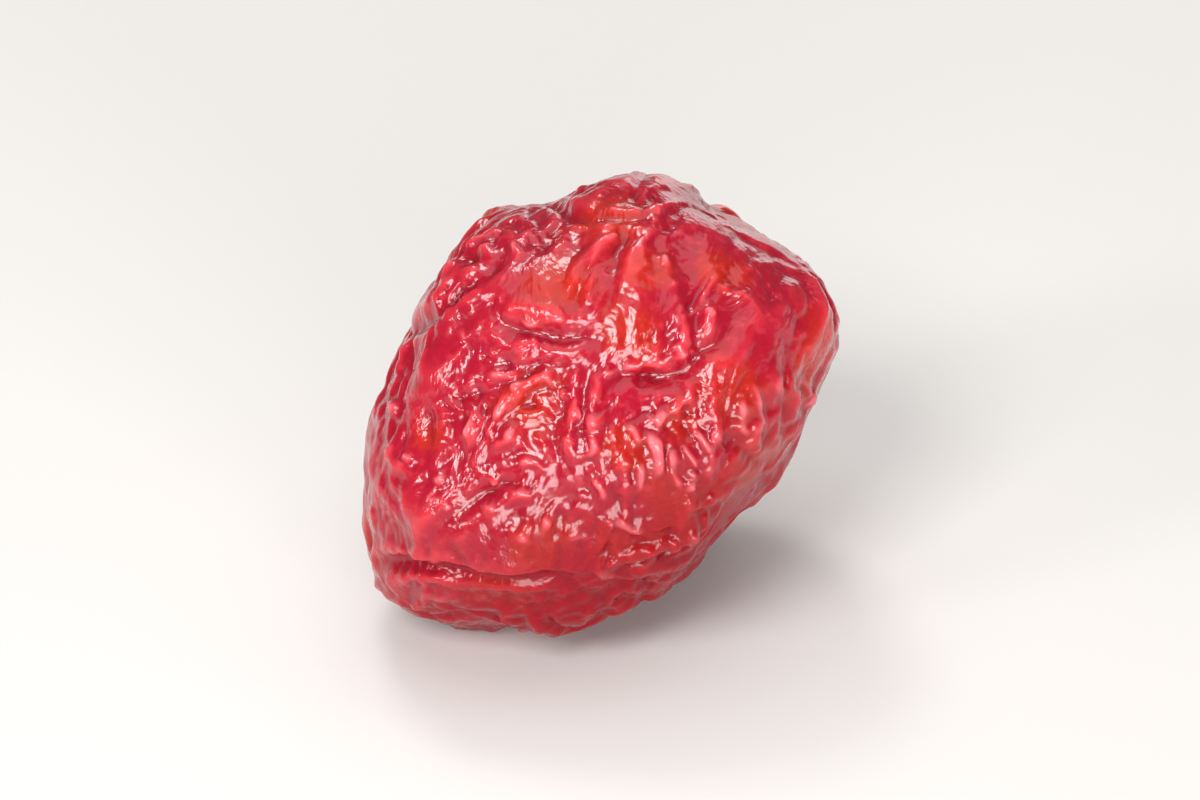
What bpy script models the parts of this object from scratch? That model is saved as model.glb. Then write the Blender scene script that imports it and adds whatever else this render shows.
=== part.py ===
# A dried wild plum lying on the small flat spot that it has sunk onto, in metres, +Z up.
# The best side of the fruit, its face, looks towards -Y and FACE_TILT above level.
# The shape is worked out in millimetres round the middle of the fruit, then put in metres.

import math

import bmesh
import bpy
import numpy as np

MM = 0.001

# The body. Half depths run from the outline's plane to the face and to the back.
FACE_TILT = math.radians(30)
FRONT_DEPTH = 15.0
BACK_DEPTH = 16.2
SQUARENESS = 2.35
OUTLINE_SOFTNESS = math.radians(4.5)
SAMPLES_ROUND = 720

# The outline seen straight on to the face, as places (right, up) from the middle.
OUTLINE = [
    (18.3, 5.6),
    (16.9, 9.6),
    (12.0, 13.4),
    (8.3, 15.4),
    (5.6, 17.0),
    (1.0, 17.9),
    (-3.1, 16.0),
    (-6.8, 15.3),
    (-11.2, 12.1),
    (-14.3, 7.4),
    (-16.5, 1.5),
    (-17.5, -4.5),
    (-17.2, -11.0),
    (-16.6, -13.2),
    (-8.5, -16.0),
    (-3.5, -16.9),
    (3.0, -13.8),
    (10.0, -7.6),
    (15.9, -0.3),
]

# Where the fruit has slumped over the spot that it lies on, behind the outline.
BELLY_SIDE = (0.35, 0.60, -0.72)
BELLY_HEIGHT = 1.8
BELLY_REACH = 0.60

# The flat spot: how far the fruit has sunk, and how softly the skin meets the table.
SINK = 1.6
FOOT_SOFTNESS = 0.25

# The stem end, on the hidden side, with the cavity that the stem has left and the seam below it.
STEM_SIDE = (0.30, 0.74, 0.60)
CAVITY_DEPTH = 3.4
CAVITY_RADIUS = 2.9
SHOULDER_HEIGHT = 0.7
SHOULDER_RADIUS = 5.2
PUCKERS = 9
PUCKER_HEIGHT = 0.28
SEAM_END = (-0.05, 0.80, -0.60)
SEAM_DEPTH = 0.7
SEAM_WIDTH = 1.1
SEAM_START = 0.18
SEAM_POINTS = 12

# Broad unevenness where the flesh has shrunk, as (length of a wave, height).
SWELLS = [(14.0, 0.22), (7.5, 0.14)]
WAVES_PER_SWELL = 20
WAVE_SPREAD = 0.35
SWELL_SEED = 3

# Folds of the face: (depth, lip height, places (right, up) along it) and (height, places).
GROOVES = [
    (0.95, 0.25, [(-14.9, 6.0), (-12.4, 7.1), (-10.8, 8.2), (-9.0, 9.5), (-7.5, 10.6)]),
    (0.60, 0.15, [(-7.5, 10.6), (-8.8, 11.1), (-10.8, 11.8)]),
    (0.90, 0.35, [(-7.7, 7.6), (-6.6, 6.5), (-4.6, 6.0), (-2.9, 5.8), (0.0, 5.6)]),
    (1.10, 0.35, [(1.3, 2.8), (4.9, 3.0), (6.7, 3.4), (7.8, 4.8), (9.0, 5.5), (10.0, 7.1)]),
    (0.60, 0.20, [(6.9, 8.7), (7.1, 6.6), (7.3, 4.6)]),
    (0.90, 0.15, [(2.3, 14.0), (1.3, 12.0), (0.5, 9.7)]),
    (0.65, 0.15, [(-12.9, -9.4), (-11.3, -8.0), (-9.5, -6.7), (-7.2, -5.3)]),
    (1.10, 0.35, [(-16.7, -11.1), (-14.7, -11.4), (-12.4, -11.6), (-9.5, -12.0), (-6.5, -12.1)]),
    (0.80, 0.25, [(-6.5, -12.1), (-3.1, -12.4), (-1.3, -13.7)]),
    (0.60, 0.15, [(0.2, -12.3), (3.3, -10.9), (7.4, -8.9)]),
    (0.70, 0.20, [(-3.8, 15.9), (-1.8, 14.7), (0.7, 14.5), (3.3, 14.0)]),
]
RIDGES = [
    (0.63, [(6.6, 1.2), (5.0, 0.0), (4.1, -1.2), (4.1, -3.3), (4.1, -4.9)]),
    (0.56, [(6.2, -2.0), (6.3, -3.8), (5.8, -5.5)]),
    (0.56, [(8.3, 1.2), (8.4, -1.3), (8.3, -3.2), (7.3, -4.3)]),
    (0.49, [(1.6, -0.8), (2.4, -2.6), (2.4, -5.4)]),
    (0.56, [(10.6, 1.2), (10.5, -1.0), (11.0, -1.9)]),
    (0.42, [(12.9, 3.0), (12.2, 1.0), (11.8, -0.8)]),
    (0.63, [(14.4, 2.2), (15.4, 1.4), (14.4, -0.9)]),
    (0.49, [(5.4, -9.0), (7.1, -9.0), (7.7, -8.0)]),
    (0.49, [(0.0, -7.6), (2.2, -8.5)]),
    (0.42, [(2.8, -10.6), (4.9, -10.2)]),
    (0.63, [(-3.4, 1.7), (-4.2, 2.8), (-6.1, 1.9), (-7.4, 0.0), (-8.1, -1.1)]),
    (0.42, [(-8.3, 3.0), (-6.9, 3.0), (-5.9, 3.6)]),
    (0.56, [(-8.7, 0.3), (-9.5, -1.0), (-10.1, -2.2)]),
    (0.49, [(-7.8, -1.9), (-6.3, -1.4)]),
    (0.49, [(-1.9, 3.4), (-2.2, 1.5), (-1.6, -0.6)]),
    (0.56, [(-0.2, 2.2), (-0.3, -2.0), (-1.7, -3.4), (-2.7, -2.8)]),
    (0.42, [(-6.0, -3.7), (-4.1, -3.8), (-3.5, -4.4)]),
    (0.56, [(-5.0, -7.7), (-6.0, -9.5)]),
    (0.56, [(-3.5, -7.5), (-4.2, -9.1), (-3.1, -9.6)]),
    (0.49, [(-15.6, 1.6), (-15.0, 0.2)]),
    (0.49, [(-15.2, -2.0), (-14.8, -3.6), (-13.5, -3.7)]),
    (0.49, [(-6.8, 7.4), (-4.8, 7.0), (-1.5, 7.0)]),
    (0.42, [(-10.0, 6.4), (-9.7, 5.0)]),
    (0.49, [(4.7, 11.9), (5.1, 10.0), (5.5, 7.9)]),
    (0.56, [(5.3, 5.2), (6.1, 4.2)]),
    (0.42, [(-9.0, 12.4), (-7.8, 12.4)]),
    (0.42, [(-6.2, 12.8), (-6.2, 11.2)]),
]

# How wide the folds are, how their cross-section and lips fall off, and how they fade at their ends.
GROOVE_WIDTH = 0.85
RIDGE_WIDTH = 0.70
CREST_FALL = 1.3
CREST_ROUNDNESS = 0.2
LIP_REACH = 2.1
LIP_SPREAD = 1.3
END_TAPER = 0.3
END_SHARE = 0.25
POINTS_PER_SPAN = 6

# Wrinkles of the whole skin, drawn out along the way from stem to tip:
# (length of a wave, height of the crest or minus the depth of the crease, its width).
WRINKLES = [(8.0, 0.50, 0.95), (6.5, -0.55, 0.90), (4.8, 0.42, 0.90), (3.9, -0.34, 0.85)]
WRINKLE_SEED = 21
WRINKLE_STRETCH = 1.9
FACE_SHARE = 0.5

# The mesh: cuts along each edge of the cube that becomes the fruit, and how far its points are
# drawn towards the face, which has the finest folds.
CUTS = 30
FACE_DRAW = 0.3

RIGHT = np.array([1.0, 0.0, 0.0])
UP = np.array([0.0, math.sin(FACE_TILT), math.cos(FACE_TILT)])
OUT = np.array([0.0, -math.cos(FACE_TILT), math.sin(FACE_TILT)])


def clear_scene():
    for old in list(bpy.data.objects):
        bpy.data.objects.remove(old)


def unit(vectors):
    """Each row of vectors, made one long."""
    return vectors / np.linalg.norm(vectors, axis=-1, keepdims=True)


def outline_radius(angle):
    """Half width of the fruit at an angle round its outline: straight runs, softened."""
    places = np.array(OUTLINE)
    angles = np.arctan2(places[:, 1], places[:, 0])
    order = np.argsort(angles)
    fine = np.linspace(-np.pi, np.pi, SAMPLES_ROUND, endpoint=False)
    radii = np.hypot(places[:, 0], places[:, 1])
    rough = np.interp(fine, angles[order], radii[order], period=2 * np.pi)
    turns = np.fft.fftfreq(SAMPLES_ROUND, 1 / SAMPLES_ROUND)
    blur = np.exp(-0.5 * (turns * OUTLINE_SOFTNESS) ** 2)
    soft = np.fft.ifft(np.fft.fft(rough) * blur).real
    return np.interp(angle, fine, soft, period=2 * np.pi)


def body_radius(directions):
    """From the middle to the plain body: a squarish ellipsoid on the outline, with a belly."""
    across, high, out = directions @ RIGHT, directions @ UP, directions @ OUT
    rim = outline_radius(np.arctan2(high, across))
    half = np.where(out > 0, FRONT_DEPTH, BACK_DEPTH)
    flat_share = (np.hypot(across, high) / rim) ** SQUARENESS
    plain = (flat_share + (np.abs(out) / half) ** SQUARENESS) ** (-1 / SQUARENESS)
    off_belly = np.arccos(np.clip(directions @ unit(np.array(BELLY_SIDE)), -1, 1))
    return plain + BELLY_HEIGHT * np.exp(-((off_belly / BELLY_REACH) ** 2))


def on_face(places):
    """Points of the plain body in front of places (right, up) of the outline's plane."""
    across, high = np.array(places).T
    share = np.hypot(across, high) / outline_radius(np.arctan2(high, across))
    out = FRONT_DEPTH * np.clip(1 - share**SQUARENESS, 0, None) ** (1 / SQUARENESS)
    return np.outer(across, RIGHT) + np.outer(high, UP) + np.outer(out, OUT)


def smooth_path(points):
    """A curve through the points, with each span bent to the ones beside it."""
    if len(points) == 2:
        return np.linspace(points[0], points[1], POINTS_PER_SPAN + 1)
    ends = np.vstack([2 * points[0] - points[1], points, 2 * points[-1] - points[-2]])
    t = np.linspace(0, 1, POINTS_PER_SPAN, endpoint=False)[:, None]
    spans = []
    for a, b, c, d in zip(ends, ends[1:], ends[2:], ends[3:]):
        square = (2 * a - 5 * b + 4 * c - d) * t**2
        cube = (3 * b - a - 3 * c + d) * t**3
        spans.append(0.5 * (2 * b + (c - a) * t + square + cube))
    return np.vstack(spans + [points[-1:]])


def along(points, path):
    """How far each point is from a path, and the share of its length where it is nearest."""
    steps = np.diff(path, axis=0)
    lengths = np.linalg.norm(steps, axis=1)
    before = np.concatenate([[0], np.cumsum(lengths)])
    nearest = np.full(len(points), np.inf)
    share = np.zeros(len(points))
    for start, step, length, passed in zip(path, steps, lengths, before):
        t = np.clip((points - start) @ step / length**2, 0, 1)
        distance = np.linalg.norm(points - start - np.outer(t, step), axis=1)
        closer = distance < nearest
        nearest[closer] = distance[closer]
        share[closer] = (passed + t[closer] * length) / before[-1]
    return nearest, share


def end_fade(share):
    """A fold's strength along it: full in the middle, down to END_SHARE at its ends."""
    t = np.clip(np.minimum(share, 1 - share) / END_TAPER, 0, 1)
    return END_SHARE + (1 - END_SHARE) * t * t * (3 - 2 * t)


def crest(distance, width):
    """A fold's cross-section: 1 on its line, narrow at the top and wide at the foot."""
    slope = np.sqrt((distance / width) ** 2 + CREST_ROUNDNESS) - math.sqrt(CREST_ROUNDNESS)
    return np.exp(-CREST_FALL * slope)


def groove(points, path, depth, width, lip):
    """Height that a groove gives: a narrow valley with a soft lip on both sides."""
    distance, share = along(points, path)
    lips = lip * np.exp(-(((distance - LIP_REACH * width) / (LIP_SPREAD * width)) ** 2))
    return end_fade(share) * (lips * np.clip(distance / width, 0, 1) - depth * crest(distance, width))


def ridge(points, path, height, width):
    """Height that a ridge gives, on its path."""
    distance, share = along(points, path)
    return end_fade(share) * height * crest(distance, width)


def random_waves(points, length, seed):
    """A smooth random height over space: plane waves of about one length, added up."""
    rng = np.random.default_rng(seed)
    waves = unit(rng.normal(size=(WAVES_PER_SWELL, 3)))
    spread = rng.uniform(1 - WAVE_SPREAD, 1 + WAVE_SPREAD, WAVES_PER_SWELL)
    waves *= (2 * np.pi / length) * spread[:, None]
    phases = rng.uniform(0, 2 * np.pi, WAVES_PER_SWELL)
    return np.cos(points @ waves.T + phases).sum(axis=1) * math.sqrt(2 / WAVES_PER_SWELL)


def wrinkles(points):
    """Height of the skin's wrinkles: a crest or a crease wherever a random wave crosses zero."""
    stem = unit(np.array(STEM_SIDE))
    drawn = points - np.outer(points @ stem, stem) * (1 - 1 / WRINKLE_STRETCH)
    face = np.clip(points @ OUT / FRONT_DEPTH, 0, 1)
    share = 1 - (1 - FACE_SHARE) * face * face * (3 - 2 * face)
    height = np.zeros(len(points))
    for i, (length, rise, width) in enumerate(WRINKLES):
        wave = random_waves(drawn, length, WRINKLE_SEED + i)
        steepness = 2 * np.pi / length / math.sqrt(3)
        height += rise * share * crest(wave / steepness, width)
    return height


def face_folds(points):
    """Height of the folds that are placed by hand on the face."""
    height = np.zeros(len(points))
    front = points @ OUT > 0
    near = points[front]
    for depth, lip, places in GROOVES:
        height[front] += groove(near, smooth_path(on_face(places)), depth, GROOVE_WIDTH, lip)
    for rise, places in RIDGES:
        height[front] += ridge(near, smooth_path(on_face(places)), rise, RIDGE_WIDTH)
    return height


def stem_end(points):
    """Height of the stem end: a funnel in a raised, puckered shoulder, with a seam below it."""
    stem = unit(np.array(STEM_SIDE))
    middle = stem * body_radius(stem[None])[0]
    away = points - middle
    distance = np.linalg.norm(away, axis=1)
    side = unit(np.cross(stem, RIGHT))
    turn = np.arctan2(away @ np.cross(stem, side), away @ side)
    shoulder = SHOULDER_HEIGHT * np.exp(-(((distance - SHOULDER_RADIUS) / CAVITY_RADIUS) ** 2))
    funnel = CAVITY_DEPTH * np.exp(-((distance / CAVITY_RADIUS) ** 2))
    off_rim = (distance - CAVITY_RADIUS) / CAVITY_RADIUS
    rim = np.exp(-(off_rim**2)) * np.clip(distance / CAVITY_RADIUS, 0, 1)
    puckers = PUCKER_HEIGHT * rim * np.cos(PUCKERS * turn)
    t = np.linspace(SEAM_START, 1, SEAM_POINTS)[:, None]
    arc = unit((1 - t) * stem + t * unit(np.array(SEAM_END)))
    seam = groove(points, arc * body_radius(arc)[:, None], SEAM_DEPTH, SEAM_WIDTH, 0)
    return shoulder - funnel + puckers + seam


def relief(points):
    """Height of the skin over the plain body at each of the body's points."""
    height = face_folds(points) + wrinkles(points) + stem_end(points)
    for i, (length, rise) in enumerate(SWELLS):
        height += rise * random_waves(points, length, SWELL_SEED + i)
    return height


def set_down(points):
    """Lowers the fruit onto z = 0, with what would sink below it pressed flat, and centres it."""
    above = points[:, 2] - points[:, 2].min() - SINK
    soft = np.clip(above + FOOT_SOFTNESS, 0, None) ** 2 / (4 * FOOT_SOFTNESS)
    points[:, 2] = np.where(above > FOOT_SOFTNESS, above, soft)
    middle = (points[:, :2].min(axis=0) + points[:, :2].max(axis=0)) / 2
    points[:, :2] -= middle
    return points


def even_cube(cuts):
    """A cube cut into even squares, to be blown up into the fruit."""
    cube = bmesh.new()
    bmesh.ops.create_cube(cube, size=2)
    bmesh.ops.subdivide_edges(cube, edges=cube.edges[:], cuts=cuts, use_grid_fill=True)
    mesh = bpy.data.meshes.new("plum")
    cube.to_mesh(mesh)
    cube.free()
    return mesh


def fruit_skin():
    """Principled material: wet dark red skin."""
    skin = bpy.data.materials.new("plum_skin")
    skin.use_nodes = True
    shader = skin.node_tree.nodes["Principled BSDF"]
    shader.inputs["Base Color"].default_value = (0.52, 0.02, 0.03, 1)
    shader.inputs["Roughness"].default_value = 0.28
    shader.inputs["Metallic"].default_value = 0
    return skin


def make_plum():
    mesh = even_cube(CUTS)
    places = np.empty(len(mesh.vertices) * 3)
    mesh.vertices.foreach_get("co", places)
    even = unit(np.tan(places.reshape(-1, 3) * math.pi / 4))
    directions = unit(even + FACE_DRAW * OUT)
    plain = directions * body_radius(directions)[:, None]
    points = set_down(plain + directions * relief(plain)[:, None])
    mesh.vertices.foreach_set("co", (points * MM).ravel())
    mesh.update()
    mesh.shade_smooth()
    mesh.materials.append(fruit_skin())
    plum = bpy.data.objects.new("plum", mesh)
    fruit = bpy.data.collections.new("wild_plum")
    bpy.context.scene.collection.children.link(fruit)
    fruit.objects.link(plum)


clear_scene()
make_plum()
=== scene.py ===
import math
import time

import bmesh
import bpy
import numpy as np
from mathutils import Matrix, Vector


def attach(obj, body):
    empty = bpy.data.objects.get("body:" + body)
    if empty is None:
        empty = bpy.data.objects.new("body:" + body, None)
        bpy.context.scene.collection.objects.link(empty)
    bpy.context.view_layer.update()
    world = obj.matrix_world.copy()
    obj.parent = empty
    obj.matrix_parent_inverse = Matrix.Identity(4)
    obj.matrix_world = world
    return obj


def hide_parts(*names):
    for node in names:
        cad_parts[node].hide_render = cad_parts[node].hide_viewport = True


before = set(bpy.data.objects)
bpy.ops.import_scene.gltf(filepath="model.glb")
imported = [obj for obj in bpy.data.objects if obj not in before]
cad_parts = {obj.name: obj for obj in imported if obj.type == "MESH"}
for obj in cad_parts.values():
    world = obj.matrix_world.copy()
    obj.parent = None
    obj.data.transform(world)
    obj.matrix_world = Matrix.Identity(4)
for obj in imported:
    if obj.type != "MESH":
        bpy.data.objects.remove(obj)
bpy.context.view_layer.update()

started = time.time()


def report(stage):
    print(f"{stage}: {time.time() - started:.1f} s")


# Camera: level with the fruit's best side, which looks 30 degrees above level towards -Y.
view = {
    "azimuth": 0,  # degrees, 0 looks along +Y
    "elevation": 30,  # degrees above level
    "distance": 0.5,  # metres, as a close table photograph is taken
    "lookAt": (0.0, 0.0, 0.0165),
    "tallShown": 0.060,  # metres that the picture's height takes in at the fruit
    "pictureShape": 1200 / 800,
}


def makeCamera():
    # The camera stands on a sphere round the fruit; its lens takes in tallShown at that distance.
    azimuth, elevation = math.radians(view["azimuth"]), math.radians(view["elevation"])
    level = math.cos(elevation)
    back = Vector((math.sin(azimuth) * level, -math.cos(azimuth) * level, math.sin(elevation)))
    camera = bpy.data.objects.new("camera", bpy.data.cameras.new("camera"))
    bpy.context.scene.collection.objects.link(camera)
    camera.location = Vector(view["lookAt"]) + view["distance"] * back
    camera.rotation_euler = back.to_track_quat("Z", "Y").to_euler()
    wideShown = view["tallShown"] * view["pictureShape"]
    camera.data.lens = camera.data.sensor_width * view["distance"] / wideShown
    camera.data.clip_start = 0.01
    bpy.context.scene.camera = camera


makeCamera()
report("camera")

# The fruit's body, in millimetres round its middle. Its outline, depths and belly are the solid's.
body = {
    "faceTilt": 30,  # degrees above level at which the best side looks
    "frontDepth": 15.0,
    "backDepth": 16.2,
    "squareness": 2.35,  # 2 is an ellipsoid, more is squarer
    "outlineSamples": 720,
    "outlineSoftness": 4.5,  # degrees
    "bellySide": (0.35, 0.60, -0.72),
    "bellyHeight": 1.8,
    "bellyReach": 0.60,  # radians
    "shrink": 0.3,  # room left for the skin's folds, which rise above the flesh
    "sink": 1.6,  # what is pressed flat where it lies
    "footSoftness": 0.25,
}
# Places (right, up) round the outline of the best side.
outline = [
    (18.3, 5.6), (16.9, 9.6), (12.0, 13.4), (8.3, 15.4), (5.6, 17.0), (1.0, 17.9), (-3.1, 16.0),
    (-6.8, 15.3), (-11.2, 12.1), (-14.3, 7.4), (-16.5, 1.5), (-17.5, -4.5), (-17.2, -11.0),
    (-16.6, -13.2), (-8.5, -16.0), (-3.5, -16.9), (3.0, -13.8), (10.0, -7.6), (15.9, -0.3),
]
tilt = math.radians(body["faceTilt"])
right = np.array([1.0, 0.0, 0.0])
up = np.array([0.0, math.sin(tilt), math.cos(tilt)])
out = np.array([0.0, -math.cos(tilt), math.sin(tilt)])


def unit(vectors):
    # Each vector over its length.
    return vectors / np.linalg.norm(vectors, axis=-1, keepdims=True)


def outlineRadius(angle):
    # Half width at an angle round the outline: straight runs between its places, blurred.
    places = np.array(outline)
    angles = np.arctan2(places[:, 1], places[:, 0])
    order = np.argsort(angles)
    count = body["outlineSamples"]
    fine = np.linspace(-np.pi, np.pi, count, endpoint=False)
    radii = np.hypot(places[:, 0], places[:, 1])
    rough = np.interp(fine, angles[order], radii[order], period=2 * np.pi)
    turns = np.fft.fftfreq(count, 1 / count)
    blur = np.exp(-0.5 * (turns * math.radians(body["outlineSoftness"])) ** 2)
    soft = np.fft.ifft(np.fft.fft(rough) * blur).real
    return np.interp(angle, fine, soft, period=2 * np.pi)


def bodyRadius(directions):
    # Middle to skin: a squarish ellipsoid (|flat|^p + |depth|^p = 1) on the outline, and a belly.
    across, high, depth = directions @ right, directions @ up, directions @ out
    rim = outlineRadius(np.arctan2(high, across))
    half = np.where(depth > 0, body["frontDepth"], body["backDepth"])
    p = body["squareness"]
    plain = ((np.hypot(across, high) / rim) ** p + (np.abs(depth) / half) ** p) ** (-1 / p)
    offBelly = np.arccos(np.clip(directions @ unit(np.array(body["bellySide"])), -1, 1))
    belly = body["bellyHeight"] * np.exp(-((offBelly / body["bellyReach"]) ** 2))
    return plain + belly - body["shrink"]


def onFace(places):
    # The body's point in front of each place (right, up) of the outline's plane.
    across, high = np.array(places).T
    share = np.hypot(across, high) / outlineRadius(np.arctan2(high, across))
    p = body["squareness"]
    depth = body["frontDepth"] * np.clip(1 - share**p, 0, None) ** (1 / p)
    return np.outer(across, right) + np.outer(high, up) + np.outer(depth, out)


# What all grooves, ridges and long creases have in common.
foldShape = {
    "pointsPerSpan": 6,  # along its path, between two places
    "taper": 0.3,  # share of its length over which an end fades
    "endShare": 0.25,  # of its strength left at the very end
    "lift": 0.58,  # makes the top about 1 high
    "fall": 1.3,
    "roundness": 0.2,
    "lipPlace": 2.1,  # widths from the line to the lips' tops
    "lipWidth": 1.3,  # widths
}


def smoothPath(points):
    # A Catmull-Rom curve through the points.
    if len(points) == 2:
        return np.linspace(points[0], points[1], foldShape["pointsPerSpan"] + 1)
    ends = np.vstack([2 * points[0] - points[1], points, 2 * points[-1] - points[-2]])
    t = np.linspace(0, 1, foldShape["pointsPerSpan"], endpoint=False)[:, None]
    spans = []
    for a, b, c, d in zip(ends, ends[1:], ends[2:], ends[3:]):
        square = (2 * a - 5 * b + 4 * c - d) * t**2
        cube = (3 * b - a - 3 * c + d) * t**3
        spans.append(0.5 * (2 * b + (c - a) * t + square + cube))
    return np.vstack(spans + [points[-1:]])


def along(points, path):
    # Distance to a path, share of its length passed, and its heading, at the nearest place.
    steps = np.diff(path, axis=0)
    lengths = np.linalg.norm(steps, axis=1)
    before = np.concatenate([[0], np.cumsum(lengths)])
    nearest = np.full(len(points), np.inf)
    share = np.zeros(len(points))
    heading = np.zeros((len(points), 3))
    for start, step, length, passed in zip(path, steps, lengths, before):
        t = np.clip((points - start) @ step / length**2, 0, 1)
        distance = np.linalg.norm(points - start - np.outer(t, step), axis=1)
        closer = distance < nearest
        nearest[closer] = distance[closer]
        share[closer] = (passed + t[closer] * length) / before[-1]
        heading[closer] = step / length
    return nearest, share, heading


def endFade(share):
    # A fold's strength along it: endShare at its ends, then a smooth step up to 1.
    t = np.clip(np.minimum(share, 1 - share) / foldShape["taper"], 0, 1)
    atEnd = foldShape["endShare"]
    return atEnd + (1 - atEnd) * t * t * (3 - 2 * t)


def crest(distance, width):
    # A fold's cross-section, exp(lift - fall sqrt((distance/width)^2 + roundness)): 1 on its
    # line, sharp at the top and wide at the foot.
    away = np.sqrt((distance / width) ** 2 + foldShape["roundness"])
    return np.exp(foldShape["lift"] - foldShape["fall"] * away)


def groove(points, path, depth, width, lip):
    # A narrow valley along the path with a soft Gaussian lip on both sides.
    distance, share, heading = along(points, path)
    away = (distance - foldShape["lipPlace"] * width) / (foldShape["lipWidth"] * width)
    lips = lip * np.exp(-(away**2))
    return endFade(share) * (lips * np.clip(distance / width, 0, 1) - depth * crest(distance, width))


def ridge(points, path, height, width):
    # A raised fold along the path.
    distance, share, heading = along(points, path)
    return endFade(share) * height * crest(distance, width)


def randomWaves(points, length, seed, count=20, jitter=(0.65, 1.35)):
    # A smooth random height over space, about 1 high: plane waves of about one length, added.
    rng = np.random.default_rng(seed)
    waves = unit(rng.normal(size=(count, 3)))
    waves *= (2 * np.pi / length) * rng.uniform(*jitter, count)[:, None]
    phases = rng.uniform(0, 2 * np.pi, count)
    return np.cos(points @ waves.T + phases).sum(axis=1) * math.sqrt(2 / count)


def uneven(points, pattern):
    # A slow random share: mean plus contrast times random waves, kept within a range.
    wave = randomWaves(points, pattern["length"], pattern["seed"], pattern["waves"])
    return np.clip(pattern["mean"] + pattern["contrast"] * wave, *pattern["range"])


# The stem end, on the hidden side: a cavity in a puckered shoulder, and a seam down from it.
stem = {
    "side": (0.30, 0.74, 0.60),
    "depth": 3.4,
    "radius": 2.9,
    "shoulder": 0.7,
    "shoulderRadius": 5.2,
    "puckers": 9,
    "puckerHeight": 0.28,
    "seamStart": 0.18,  # share of the way from the stem to seamEnd
    "seamEnd": (-0.05, 0.80, -0.60),
    "seamPoints": 12,
    "seamDepth": 0.7,
    "seamWidth": 1.0,
}


def stemEnd(points):
    # A Gaussian funnel in a ring-shaped shoulder, with a cosine round the rim and a seam groove.
    side = unit(np.array(stem["side"]))
    away = points - side * bodyRadius(side[None])[0]
    distance = np.linalg.norm(away, axis=1)
    across = unit(np.cross(side, right))
    turn = np.arctan2(away @ np.cross(side, across), away @ across)
    r = stem["radius"]
    shoulder = stem["shoulder"] * np.exp(-(((distance - stem["shoulderRadius"]) / r) ** 2))
    funnel = stem["depth"] * np.exp(-((distance / r) ** 2))
    rim = np.exp(-(((distance - r) / r) ** 2)) * np.clip(distance / r, 0, 1)
    puckers = stem["puckerHeight"] * rim * np.cos(stem["puckers"] * turn)
    t = np.linspace(stem["seamStart"], 1, stem["seamPoints"])[:, None]
    arc = unit((1 - t) * side + t * unit(np.array(stem["seamEnd"])))
    seam = groove(points, arc * bodyRadius(arc)[:, None], stem["seamDepth"], stem["seamWidth"], 0)
    return shoulder - funnel + puckers + seam


# The flesh's form: broad swells, and long creases drawn out from stem to tip.
flesh = {
    "swells": [(14.0, 0.22), (7.5, 0.14)],  # wave length, height
    "swellSeed": 3,
    "creases": [(8.0, 0.20, 0.8), (6.5, -0.24, 0.7), (4.8, 0.10, 0.7)],  # and width
    "creaseSeed": 21,
    "stretch": 1.9,  # their length over their width
    "faceShare": 0.35,  # of them left on the best side, whose own folds are listed
    "grooveStrength": 0.55,
    "ridgeStrength": 0.4,
    "foldWidth": 0.8,
}
# Grooves of the face: depth, width, lip height, and places (right, up) along each.
grooves = [
    (1.3, 0.8, 0.35, [(-14.9, 6.0), (-12.4, 7.1), (-10.8, 8.2), (-9.0, 9.5), (-7.5, 10.6)]),
    (0.8, 0.6, 0.20, [(-7.5, 10.6), (-8.8, 11.1), (-10.8, 11.8)]),
    (1.2, 0.8, 0.50, [(-7.7, 7.6), (-6.6, 6.5), (-4.6, 6.0), (-2.9, 5.8), (0.0, 5.6)]),
    (1.5, 0.95, 0.50, [(1.3, 2.8), (4.9, 3.0), (6.7, 3.4), (7.8, 4.8), (9.0, 5.5), (10.0, 7.1)]),
    (0.8, 0.6, 0.30, [(6.9, 8.7), (7.1, 6.6), (7.3, 4.6)]),
    (1.2, 0.9, 0.20, [(2.3, 14.0), (1.3, 12.0), (0.5, 9.7)]),
    (0.9, 0.8, 0.20, [(-12.9, -9.4), (-11.3, -8.0), (-9.5, -6.7), (-7.2, -5.3)]),
    (1.5, 0.7, 0.50, [(-16.7, -11.1), (-14.7, -11.4), (-12.4, -11.6), (-9.5, -12.0), (-6.5, -12.1),
                      (-3.1, -12.4), (-1.3, -13.7)]),
    (0.4, 0.8, 0.10, [(0.2, -12.3), (3.3, -10.9), (7.4, -8.9)]),
    (1.0, 0.6, 0.30, [(-3.8, 15.9), (-1.8, 14.7), (0.7, 14.5), (3.3, 14.0)]),
]
# Pillows of the face, where the skin is puffed out: height, radius, place (right, up).
pillows = [
    (0.9, 3.0, (-6.5, -10.8)), (0.5, 2.4, (1.0, -10.4)), (0.3, 2.2, (6.0, -11.0)),
    (0.5, 3.6, (-4.0, 8.6)), (0.4, 3.2, (8.5, 12.0)), (0.8, 2.9, (6.4, -7.4)),
    (0.4, 3.0, (-13.2, -7.2)), (0.4, 2.8, (3.5, 9.2)), (0.5, 2.2, (12.6, 6.5)),
    (0.4, 2.4, (-12.5, 3.0)),
]
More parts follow.
